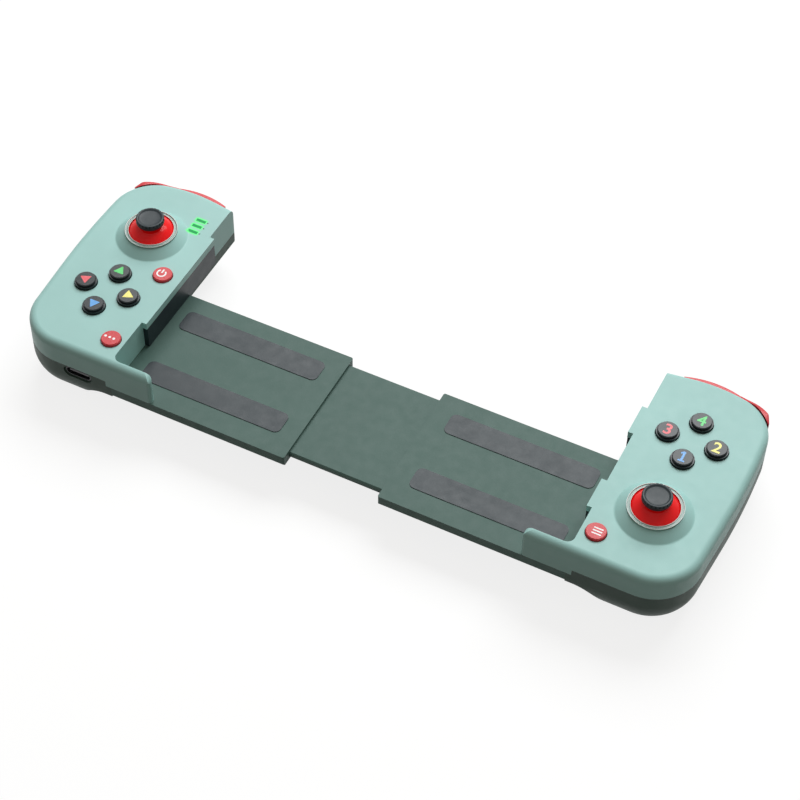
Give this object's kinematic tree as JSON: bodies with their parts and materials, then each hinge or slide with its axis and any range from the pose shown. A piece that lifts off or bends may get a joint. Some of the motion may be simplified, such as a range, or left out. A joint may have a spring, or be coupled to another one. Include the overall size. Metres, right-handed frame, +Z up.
{
  "type": "mobile game controller",
  "caption": "Two contoured grips joined by a sliding bridge clamp a phone between them, with thumb sticks, round buttons, bumpers and triggers.",
  "frame": {"origin": "centre of the footprint, on the surface that the controller rests on", "axes": "+X along the controller towards the grip with the face buttons, +Y away from the player, +Z up"},
  "size_m": [0.223, 0.082, 0.0322],
  "materials": {
    "mint_plastic": "satin",
    "dark_plastic": "satin",
    "red_plastic": "gloss",
    "smoke_plastic": "gloss",
    "ring_plastic": "gloss",
    "clear_plastic": "gloss",
    "soft_rubber": "matte",
    "keypad_rubber": "matte",
    "steel": "satin",
    "board_laminate": "satin",
    "cell_foil": "satin"
  },
  "bodies": {
    "left_grip": {"left_front_cover": "mint_plastic", "left_back_cover": "dark_plastic", "left_board": "board_laminate", "left_membrane": "keypad_rubber", "left_screws": "steel", "left_jaw_pads": "soft_rubber", "left_bridge_plate": "dark_plastic", "left_cradle_pads": "soft_rubber", "left_bridge_springs": "steel", "left_trigger_pin": "steel", "left_trigger_spring": "steel", "left_stick_ring": "ring_plastic", "left_stick_module": "steel", "light_guide": "clear_plastic", "charge_port": "steel", "battery": "cell_foil"},
    "bridge": {"bridge_slider": "dark_plastic", "ribbon_cable": "smoke_plastic"},
    "right_grip": {"right_front_cover": "mint_plastic", "right_back_cover": "dark_plastic", "right_board": "board_laminate", "right_membrane": "keypad_rubber", "right_screws": "steel", "right_jaw_pads": "soft_rubber", "right_bridge_plate": "dark_plastic", "right_cradle_pads": "soft_rubber", "right_bridge_springs": "steel", "right_trigger_pin": "steel", "right_trigger_spring": "steel", "right_stick_ring": "ring_plastic", "right_stick_module": "steel"},
    "dpad_up": {"dpad_up": "smoke_plastic"},
    "dpad_left": {"dpad_left": "smoke_plastic"},
    "dpad_down": {"dpad_down": "smoke_plastic"},
    "dpad_right": {"dpad_right": "smoke_plastic"},
    "face_button_far": {"face_button_far": "smoke_plastic"},
    "face_button_right": {"face_button_right": "smoke_plastic"},
    "face_button_near": {"face_button_near": "smoke_plastic"},
    "face_button_left": {"face_button_left": "smoke_plastic"},
    "power_button": {"power_button": "red_plastic"},
    "select_button": {"select_button": "red_plastic"},
    "start_button": {"start_button": "red_plastic"},
    "left_bumper": {"left_bumper": "red_plastic"},
    "left_trigger": {"left_trigger": "dark_plastic"},
    "left_stick_yoke": {"left_stick_yoke": "smoke_plastic"},
    "left_stick_pivot": {"left_stick_pivot": "smoke_plastic"},
    "left_stick_top": {"left_stick_shaft": "steel", "left_stick_skirt": "red_plastic", "left_stick_cap": "soft_rubber"},
    "right_bumper": {"right_bumper": "red_plastic"},
    "right_trigger": {"right_trigger": "dark_plastic"},
    "right_stick_yoke": {"right_stick_yoke": "smoke_plastic"},
    "right_stick_pivot": {"right_stick_pivot": "smoke_plastic"},
    "right_stick_top": {"right_stick_shaft": "steel", "right_stick_skirt": "red_plastic", "right_stick_cap": "soft_rubber"}
  },
  "joints": [
    {"name": "left_bridge_slide", "type": "slide", "parent": "left_grip", "child": "bridge", "axis": [1, 0, 0], "range_m": [-0.0153, 0.01315], "stiffness_N_per_m": 200, "springref_m": -0.0153, "deforming": ["left_bridge_springs", "ribbon_cable"]},
    {"name": "right_bridge_slide", "type": "slide", "parent": "bridge", "child": "right_grip", "axis": [1, 0, 0], "range_m": [-0.0153, 0.01315], "stiffness_N_per_m": 200, "springref_m": -0.0153, "deforming": ["right_bridge_springs", "ribbon_cable"]},
    {"name": "dpad_up_press", "type": "slide", "parent": "left_grip", "child": "dpad_up", "axis": [0, 0, -1], "range_m": [0, 0.0008], "stiffness_N_per_m": 1000, "deforming": ["left_membrane"]},
    {"name": "dpad_left_press", "type": "slide", "parent": "left_grip", "child": "dpad_left", "axis": [0, 0, -1], "range_m": [0, 0.0008], "stiffness_N_per_m": 1000, "deforming": ["left_membrane"]},
    {"name": "dpad_down_press", "type": "slide", "parent": "left_grip", "child": "dpad_down", "axis": [0, 0, -1], "range_m": [0, 0.0008], "stiffness_N_per_m": 1000, "deforming": ["left_membrane"]},
    {"name": "dpad_right_press", "type": "slide", "parent": "left_grip", "child": "dpad_right", "axis": [0, 0, -1], "range_m": [0, 0.0008], "stiffness_N_per_m": 1000, "deforming": ["left_membrane"]},
    {"name": "face_button_far_press", "type": "slide", "parent": "right_grip", "child": "face_button_far", "axis": [0, 0, -1], "range_m": [0, 0.0008], "stiffness_N_per_m": 1000, "deforming": ["right_membrane"]},
    {"name": "face_button_right_press", "type": "slide", "parent": "right_grip", "child": "face_button_right", "axis": [0, 0, -1], "range_m": [0, 0.0008], "stiffness_N_per_m": 1000, "deforming": ["right_membrane"]},
    {"name": "face_button_near_press", "type": "slide", "parent": "right_grip", "child": "face_button_near", "axis": [0, 0, -1], "range_m": [0, 0.0008], "stiffness_N_per_m": 1000, "deforming": ["right_membrane"]},
    {"name": "face_button_left_press", "type": "slide", "parent": "right_grip", "child": "face_button_left", "axis": [0, 0, -1], "range_m": [0, 0.0008], "stiffness_N_per_m": 1000, "deforming": ["right_membrane"]},
    {"name": "power_button_press", "type": "slide", "parent": "left_grip", "child": "power_button", "axis": [0, 0, -1], "range_m": [0, 0.0008], "stiffness_N_per_m": 1000, "deforming": ["left_membrane"]},
    {"name": "select_button_press", "type": "slide", "parent": "left_grip", "child": "select_button", "axis": [0, 0, -1], "range_m": [0, 0.0008], "stiffness_N_per_m": 1000, "deforming": ["left_membrane"]},
    {"name": "start_button_press", "type": "slide", "parent": "right_grip", "child": "start_button", "axis": [0, 0, -1], "range_m": [0, 0.0008], "stiffness_N_per_m": 1000, "deforming": ["right_membrane"]},
    {"name": "left_bumper_press", "type": "slide", "parent": "left_grip", "child": "left_bumper", "axis": [0, -1, 0], "range_m": [0, 0.0007], "stiffness_N_per_m": 1500},
    {"name": "left_trigger_pull", "type": "hinge", "parent": "left_grip", "child": "left_trigger", "pos_m": [-0.0945, 0.0285, 0.011], "axis": [-1, 0, 0], "range_deg": [0, 14], "stiffness_Nm_per_rad": 0.1, "springref_deg": -5.73},
    {"name": "left_stick_fore_aft", "type": "hinge", "parent": "left_grip", "child": "left_stick_yoke", "pos_m": [-0.0915, 0.0118, 0.0215], "axis": [1, 0, 0], "range_deg": [-16, 16], "stiffness_Nm_per_rad": 0.05},
    {"name": "left_stick_sideways", "type": "hinge", "parent": "left_stick_yoke", "child": "left_stick_pivot", "pos_m": [-0.0915, 0.0118, 0.0215], "axis": [0, 1, 0], "range_deg": [-16, 16], "stiffness_Nm_per_rad": 0.05},
    {"name": "left_stick_press", "type": "slide", "parent": "left_stick_pivot", "child": "left_stick_top", "axis": [0, 0, -1], "range_m": [0, 0.0005], "stiffness_N_per_m": 1200},
    {"name": "right_bumper_press", "type": "slide", "parent": "right_grip", "child": "right_bumper", "axis": [0, -1, 0], "range_m": [0, 0.0007], "stiffness_N_per_m": 1500},
    {"name": "right_trigger_pull", "type": "hinge", "parent": "right_grip", "child": "right_trigger", "pos_m": [0.0945, 0.0285, 0.011], "axis": [-1, 0, 0], "range_deg": [0, 14], "stiffness_Nm_per_rad": 0.1, "springref_deg": -5.73},
    {"name": "right_stick_fore_aft", "type": "hinge", "parent": "right_grip", "child": "right_stick_yoke", "pos_m": [0.0915, -0.0178, 0.0215], "axis": [1, 0, 0], "range_deg": [-16, 16], "stiffness_Nm_per_rad": 0.05},
    {"name": "right_stick_sideways", "type": "hinge", "parent": "right_stick_yoke", "child": "right_stick_pivot", "pos_m": [0.0915, -0.0178, 0.0215], "axis": [0, 1, 0], "range_deg": [-16, 16], "stiffness_Nm_per_rad": 0.05},
    {"name": "right_stick_press", "type": "slide", "parent": "right_stick_pivot", "child": "right_stick_top", "axis": [0, 0, -1], "range_m": [0, 0.0005], "stiffness_N_per_m": 1200}
  ],
  "couplings": [
    {"joint": "right_bridge_slide", "follows": "left_bridge_slide", "ratio": 1}
  ]
}
